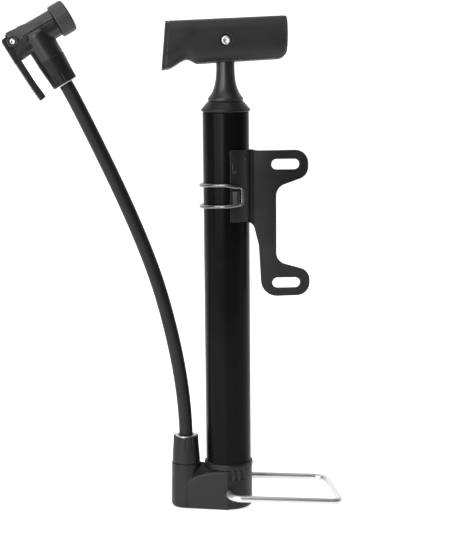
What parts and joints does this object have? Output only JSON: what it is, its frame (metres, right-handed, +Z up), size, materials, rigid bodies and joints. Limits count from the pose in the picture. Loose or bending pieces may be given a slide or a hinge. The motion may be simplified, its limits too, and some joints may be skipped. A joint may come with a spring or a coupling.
{
  "type": "foot air pump",
  "caption": "Small upright bicycle pump: barrel with T-handle plunger, fold-out wire foot rest, side hose with lever chuck, and a frame bracket.",
  "frame": {"origin": "on the floor, on the barrel's axis, at the underside of the base", "axes": "+Z up the barrel; +X the way the foot rest folds out; -Y is the front, where the clip's catch is"},
  "size_m": [0.1792, 0.0466, 0.2761],
  "materials": {
    "black_plastic": "fine satin moulding",
    "black_anodised": "black anodised, satin",
    "black_rubber": "smooth black rubber",
    "black_paint": "black powder coat",
    "bright_wire": "bright chrome",
    "bright_steel": "bright turned steel",
    "dark_steel": "dark spring steel",
    "satin_aluminium": "satin",
    "brass": "turned",
    "white_plastic": "natural moulding"
  },
  "bodies": {
    "pump_body": {"base_housing": "black_plastic", "valve_seat": "brass", "check_valve_spring": "bright_steel", "outlet_barb": "brass", "barrel_tube": "black_anodised", "barrel_collar": "black_plastic", "barrel_seal": "black_rubber", "top_cap": "black_plastic", "guide_bushing": "brass", "frame_bracket": "black_paint", "bracket_clip": "dark_steel", "lower_hose_nut": "black_plastic", "lower_hose_ferrule": "satin_aluminium", "hose": "black_rubber", "upper_hose_nut": "black_plastic", "upper_hose_ferrule": "satin_aluminium", "chuck_body": "black_plastic", "chuck_cover": "black_plastic", "valve_cap": "black_plastic", "valve_gasket": "black_rubber", "lever_pin": "bright_steel"},
    "check_poppet": {"check_valve_poppet": "white_plastic"},
    "plunger": {"piston_head": "white_plastic", "piston_ring": "black_rubber", "bumper_ring": "black_rubber"},
    "handle": {"piston_rod": "satin_aluminium", "piston_nut": "bright_steel", "handle_neck": "black_plastic", "handle_grip": "black_plastic", "handle_pin": "bright_steel"},
    "foot_rest": {"foot_rest": "bright_wire"},
    "lever": {"cam_lever": "black_plastic"},
    "thrust": {"thrust_plunger": "white_plastic"}
  },
  "joints": [
    {"name": "plunger_slide", "type": "slide", "parent": "pump_body", "child": "plunger", "axis": [0, 0, 1], "range_m": [0, 0.158]},
    {"name": "handle_turn", "type": "hinge", "parent": "plunger", "child": "handle", "pos_m": [0, 0, 0.2553], "axis": [0, 0, 1], "continuous": true},
    {"name": "foot_rest_fold", "type": "hinge", "parent": "pump_body", "child": "foot_rest", "pos_m": [-0.0004, 0, 0.0098], "axis": [0, -1, 0], "range_deg": [-4, 78]},
    {"name": "lever_throw", "type": "hinge", "parent": "pump_body", "child": "lever", "pos_m": [-0.11148, -0.00175, 0.25507], "axis": [-0.1205, 0.9903, -0.0696], "range_deg": [0, 90]},
    {"name": "thrust_slide", "type": "slide", "parent": "pump_body", "child": "thrust", "axis": [0.8576, 0.1392, 0.4951], "range_m": [0, 0.0022]},
    {"name": "check_valve_lift", "type": "slide", "parent": "pump_body", "child": "check_poppet", "axis": [0, 0, -1], "range_m": [0, 0.001], "stiffness_N_per_m": 50, "springref_m": -0.004, "deforming": ["check_valve_spring"]}
  ],
  "couplings": [
    {"joint": "thrust_slide", "follows": "lever_throw", "m_per_rad": 0.0014}
  ]
}
